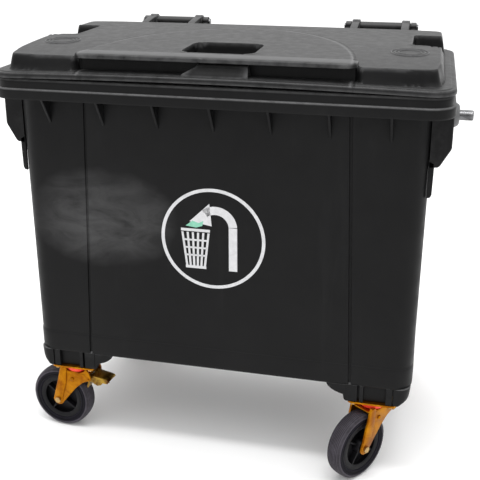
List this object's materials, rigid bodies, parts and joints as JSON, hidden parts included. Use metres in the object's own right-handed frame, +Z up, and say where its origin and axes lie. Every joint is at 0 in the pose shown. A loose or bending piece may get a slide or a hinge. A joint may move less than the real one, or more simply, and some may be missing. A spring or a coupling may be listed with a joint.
{
  "type": "four-wheeled waste container",
  "caption": "Tapered plastic waste container with a hinged flap lid, side lifting trunnions, rear handles and swivelling rubber-tyred casters, two with foot brakes.",
  "frame": {"origin": "on the ground, under the middle of the container's bounding box with its casters as parked", "axes": "+Z up, -Y is the front with the open edge of the lid, +X to the right of someone facing the front"},
  "size_m": [1.37, 0.8324, 1.232],
  "materials": {
    "tub_plastic": "moulded, faint sheen",
    "lid_plastic": "moulded, satin",
    "handle_plastic": "satin grey",
    "collar_plastic": "satin grey",
    "polished_steel": "turned",
    "bush_plastic": "satin",
    "tyre_rubber": "solid rubber, scuffed",
    "wheel_plastic": "moulded",
    "dust_ring_plastic": "bright red",
    "yellow_zinc": "yellow chromate on zinc",
    "plug_plastic": "moulded",
    "seal_rubber": "soft",
    "bright_zinc": "bright zinc"
  },
  "bodies": {
    "container": {"caster_plate_front_left": "yellow_zinc", "caster_plate_front_right": "yellow_zinc", "caster_plate_rear_left": "yellow_zinc", "caster_plate_rear_right": "yellow_zinc", "drain_seal": "seal_rubber", "handle_bar_left": "handle_plastic", "handle_bar_right": "handle_plastic", "hinge_rod_left": "polished_steel", "hinge_rod_right": "polished_steel", "king_pins": "bright_zinc", "plate_bolts": "bright_zinc", "pod_inserts": "bright_zinc", "trunnion_collar_left": "collar_plastic", "trunnion_collar_right": "collar_plastic", "trunnion_pin_left": "polished_steel", "trunnion_pin_right": "polished_steel", "tub": "tub_plastic"},
    "lid": {"lid": "lid_plastic", "hinge_bushes": "bush_plastic"},
    "drain_plug": {"drain_plug": "plug_plastic"},
    "fork_front_left": {"fork_front_left": "yellow_zinc", "ball_race_front_left": "bright_zinc", "dust_ring_front_left": "dust_ring_plastic", "axle_bolt_front_left": "bright_zinc", "axle_nut_front_left": "bright_zinc", "pedal_pin_front_left": "yellow_zinc"},
    "wheel_front_left": {"wheel_centre_front_left": "wheel_plastic", "tyre_front_left": "tyre_rubber", "wheel_bearing_front_left": "bright_zinc"},
    "pedal_front_left": {"brake_pedal_front_left": "yellow_zinc", "brake_shoe_front_left": "yellow_zinc"},
    "fork_front_right": {"fork_front_right": "yellow_zinc", "ball_race_front_right": "bright_zinc", "dust_ring_front_right": "dust_ring_plastic", "axle_bolt_front_right": "bright_zinc", "axle_nut_front_right": "bright_zinc", "pedal_pin_front_right": "yellow_zinc"},
    "wheel_front_right": {"wheel_centre_front_right": "wheel_plastic", "tyre_front_right": "tyre_rubber", "wheel_bearing_front_right": "bright_zinc"},
    "pedal_front_right": {"brake_pedal_front_right": "yellow_zinc", "brake_shoe_front_right": "yellow_zinc"},
    "fork_rear_left": {"fork_rear_left": "yellow_zinc", "ball_race_rear_left": "bright_zinc", "dust_ring_rear_left": "dust_ring_plastic", "axle_bolt_rear_left": "bright_zinc", "axle_nut_rear_left": "bright_zinc"},
    "wheel_rear_left": {"wheel_centre_rear_left": "wheel_plastic", "tyre_rear_left": "tyre_rubber", "wheel_bearing_rear_left": "bright_zinc"},
    "fork_rear_right": {"fork_rear_right": "yellow_zinc", "ball_race_rear_right": "bright_zinc", "dust_ring_rear_right": "dust_ring_plastic", "axle_bolt_rear_right": "bright_zinc", "axle_nut_rear_right": "bright_zinc"},
    "wheel_rear_right": {"wheel_centre_rear_right": "wheel_plastic", "tyre_rear_right": "tyre_rubber", "wheel_bearing_rear_right": "bright_zinc"}
  },
  "joints": [
    {"name": "lid_hinge", "type": "hinge", "parent": "container", "child": "lid", "pos_m": [0, 0.3942, 1.21], "axis": [-1, 0, 0], "range_deg": [0, 270]},
    {"name": "drain_plug_pull", "type": "slide", "parent": "container", "child": "drain_plug", "axis": [0, 0, -1], "range_m": [0, 0.05]},
    {"name": "swivel_front_left", "type": "hinge", "parent": "container", "child": "fork_front_left", "pos_m": [-0.456, -0.278, 0.225], "axis": [0, 0, 1], "continuous": true},
    {"name": "spin_front_left", "type": "hinge", "parent": "fork_front_left", "child": "wheel_front_left", "pos_m": [-0.51754, -0.27044, 0.1], "axis": [-0.1219, -0.9925, 0], "continuous": true},
    {"name": "brake_front_left", "type": "hinge", "parent": "fork_front_left", "child": "pedal_front_left", "pos_m": [-0.40836, -0.28385, 0.19], "axis": [0.1219, 0.9925, 0], "range_deg": [0, 20], "stiffness_Nm_per_rad": 1.5, "springref_deg": -11.46},
    {"name": "swivel_front_right", "type": "hinge", "parent": "container", "child": "fork_front_right", "pos_m": [0.456, -0.278, 0.225], "axis": [0, 0, 1], "continuous": true},
    {"name": "spin_front_right", "type": "hinge", "parent": "fork_front_right", "child": "wheel_front_right", "pos_m": [0.41783, -0.32686, 0.1], "axis": [0.788, -0.6157, 0], "continuous": true},
    {"name": "brake_front_right", "type": "hinge", "parent": "fork_front_right", "child": "pedal_front_right", "pos_m": [0.48555, -0.24017, 0.19], "axis": [-0.788, 0.6157, 0], "range_deg": [0, 20], "stiffness_Nm_per_rad": 1.5, "springref_deg": -11.46},
    {"name": "swivel_rear_left", "type": "hinge", "parent": "container", "child": "fork_rear_left", "pos_m": [-0.456, 0.186, 0.225], "axis": [0, 0, 1], "continuous": true},
    {"name": "spin_rear_left", "type": "hinge", "parent": "fork_rear_left", "child": "wheel_rear_left", "pos_m": [-0.40851, 0.22585, 0.1], "axis": [-0.6428, 0.766, 0], "continuous": true},
    {"name": "swivel_rear_right", "type": "hinge", "parent": "container", "child": "fork_rear_right", "pos_m": [0.456, 0.186, 0.225], "axis": [0, 0, 1], "continuous": true},
    {"name": "spin_rear_right", "type": "hinge", "parent": "fork_rear_right", "child": "wheel_rear_right", "pos_m": [0.47205, 0.24589, 0.1], "axis": [-0.9659, 0.2588, 0], "continuous": true}
  ]
}
